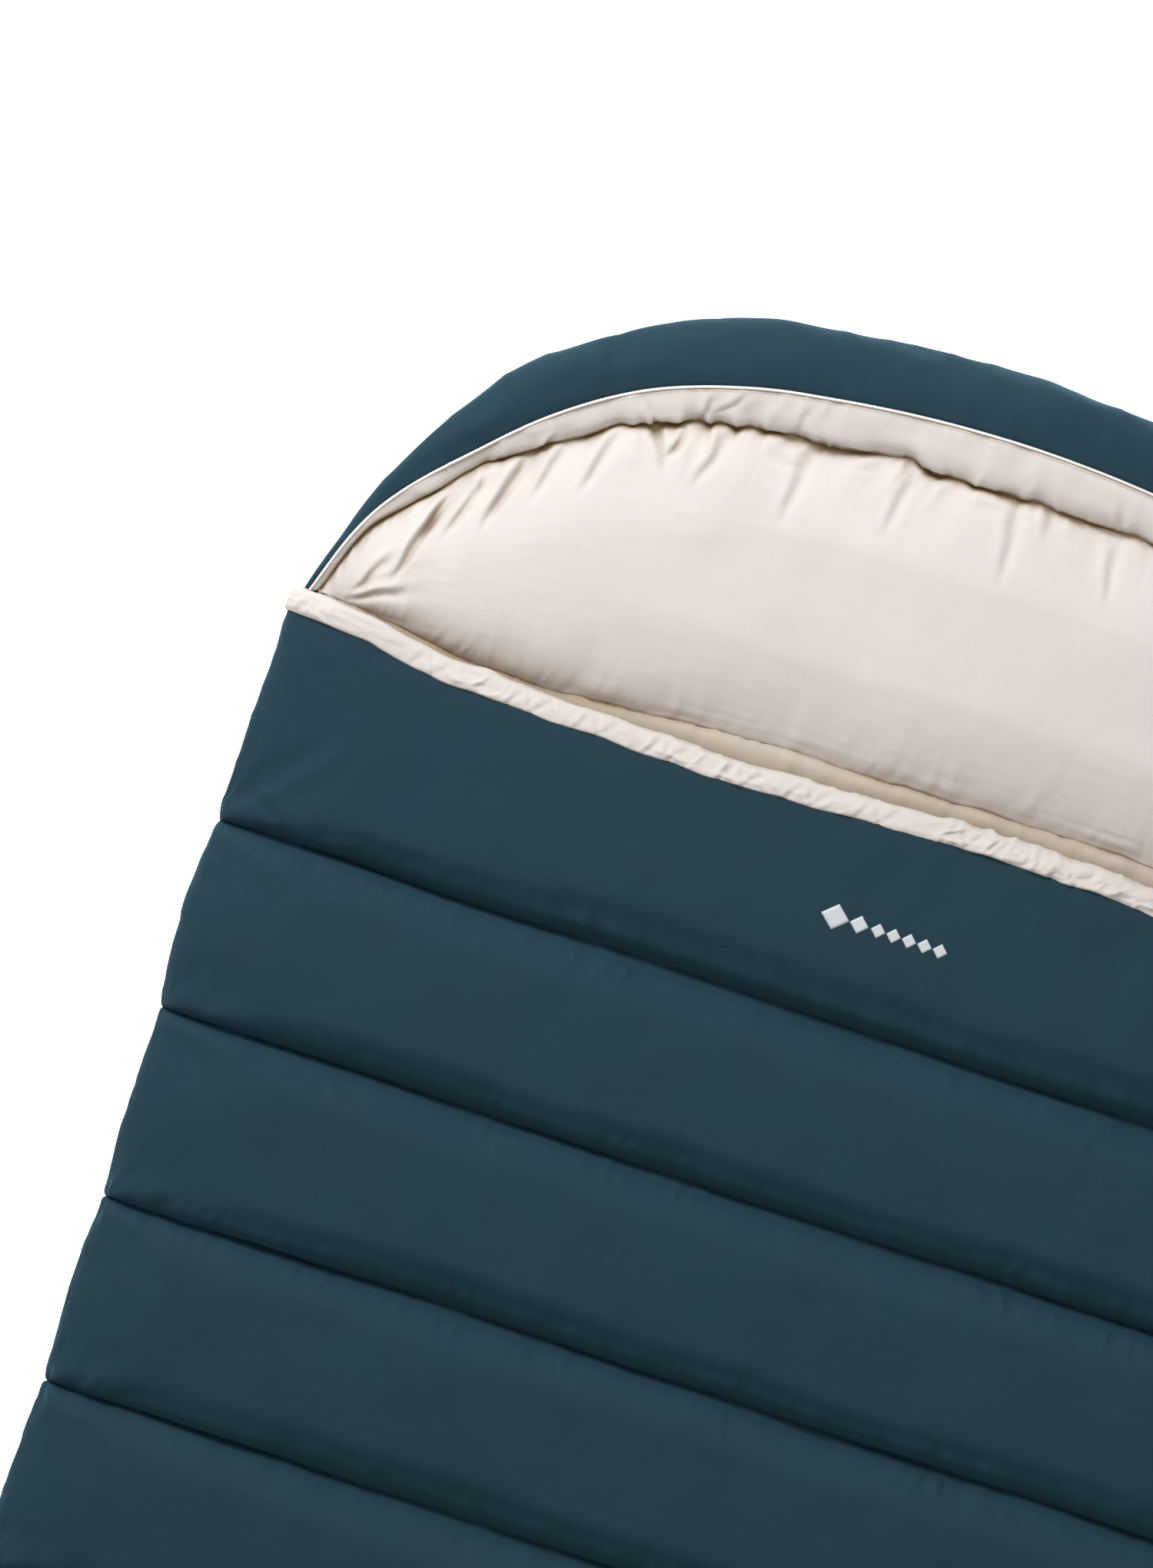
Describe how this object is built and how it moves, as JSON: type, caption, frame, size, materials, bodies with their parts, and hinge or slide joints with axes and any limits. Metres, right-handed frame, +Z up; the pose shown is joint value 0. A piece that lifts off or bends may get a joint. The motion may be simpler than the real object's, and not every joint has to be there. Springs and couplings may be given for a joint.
{
  "type": "double sleeping quilt bag",
  "caption": "Double quilted camp sleeping bag with a rounded padded pillow hood, a cover that turns down on a stitch line, and side zips with sliders.",
  "frame": {"origin": "centre of the footprint at ground level", "axes": "+Z up, +Y towards the head end, X across the width"},
  "size_m": [1.436, 2.268, 0.0938],
  "materials": {
    "shell_cloth": "matte",
    "lining_cloth": "matte",
    "wadding": "matte",
    "zip_tape": "matte",
    "zip_coil": "satin",
    "slider_metal": "satin",
    "puller_grip": "matte",
    "care_label": "matte"
  },
  "bodies": {
    "bag": {"back_outer_shell": "shell_cloth", "cover_outer_shell": "shell_cloth", "back_lining": "lining_cloth", "cover_lining": "lining_cloth", "draught_tube_left": "lining_cloth", "draught_tube_right": "lining_cloth", "back_insulation": "wadding", "cover_insulation": "wadding", "zip_tape_back_left": "zip_tape", "zip_coil_back_left": "zip_coil", "zip_tape_cover_left": "zip_tape", "zip_coil_cover_left": "zip_coil", "zip_top_stop_back_left": "slider_metal", "zip_bottom_stop_left": "slider_metal", "zip_tape_back_right": "zip_tape", "zip_coil_back_right": "zip_coil", "zip_tape_cover_right": "zip_tape", "zip_coil_cover_right": "zip_coil", "zip_top_stop_back_right": "slider_metal", "zip_bottom_stop_right": "slider_metal", "care_label": "care_label"},
    "turn_down": {"turndown_outer_shell": "shell_cloth", "turndown_insulation": "wadding", "turndown_lining": "lining_cloth", "mouth_binding": "lining_cloth", "zip_tape_turndown_left": "zip_tape", "zip_tape_turndown_right": "zip_tape", "zip_coil_turndown_left": "zip_coil", "zip_coil_turndown_right": "zip_coil", "zip_top_stop_turndown_left": "slider_metal", "zip_top_stop_turndown_right": "slider_metal"},
    "hood": {"hood_base_insulation": "wadding", "hood_base_shell": "shell_cloth", "hood_lining": "lining_cloth", "hood_rim_filling": "wadding", "hood_rim_shell": "shell_cloth", "hood_facing": "lining_cloth", "hood_piping": "lining_cloth"},
    "head_slider_left": {"zip_slider_head_left": "slider_metal"},
    "head_puller_left": {"zip_puller_head_left": "puller_grip"},
    "foot_slider_left": {"zip_slider_foot_left": "slider_metal"},
    "foot_puller_left": {"zip_puller_foot_left": "puller_grip"},
    "head_slider_right": {"zip_slider_head_right": "slider_metal"},
    "head_puller_right": {"zip_puller_head_right": "puller_grip"},
    "foot_slider_right": {"zip_slider_foot_right": "slider_metal"},
    "foot_puller_right": {"zip_puller_foot_right": "puller_grip"}
  },
  "joints": [
    {"name": "turn_down_fold", "type": "hinge", "parent": "bag", "child": "turn_down", "pos_m": [0, 0.1774, 0.0768], "axis": [1, 0, 0], "range_deg": [0, 150]},
    {"name": "hood_lift", "type": "hinge", "parent": "bag", "child": "hood", "pos_m": [0, 0.668, 0.0139], "axis": [1, 0, 0], "range_deg": [0, 60]},
    {"name": "head_zip_left", "type": "slide", "parent": "bag", "child": "head_slider_left", "axis": [0, 1, 0], "range_m": [-0.6, 0.46]},
    {"name": "foot_zip_left", "type": "slide", "parent": "bag", "child": "foot_slider_left", "axis": [0, 1, 0], "range_m": [0, 0.5]},
    {"name": "head_puller_swing_left", "type": "hinge", "parent": "head_slider_left", "child": "head_puller_left", "pos_m": [-0.7158, 0.15, 0.0317], "axis": [0, 0, -1], "range_deg": [0, 150]},
    {"name": "foot_puller_swing_left", "type": "hinge", "parent": "foot_slider_left", "child": "foot_puller_left", "pos_m": [-0.7158, -1.09, 0.0317], "axis": [0, 0, -1], "range_deg": [0, 150]},
    {"name": "head_zip_right", "type": "slide", "parent": "bag", "child": "head_slider_right", "axis": [0, 1, 0], "range_m": [-0.6, 0.46]},
    {"name": "foot_zip_right", "type": "slide", "parent": "bag", "child": "foot_slider_right", "axis": [0, 1, 0], "range_m": [0, 0.5]},
    {"name": "head_puller_swing_right", "type": "hinge", "parent": "head_slider_right", "child": "head_puller_right", "pos_m": [0.7158, 0.15, 0.0317], "axis": [0, 0, 1], "range_deg": [0, 150]},
    {"name": "foot_puller_swing_right", "type": "hinge", "parent": "foot_slider_right", "child": "foot_puller_right", "pos_m": [0.7158, -1.09, 0.0317], "axis": [0, 0, 1], "range_deg": [0, 150]}
  ]
}
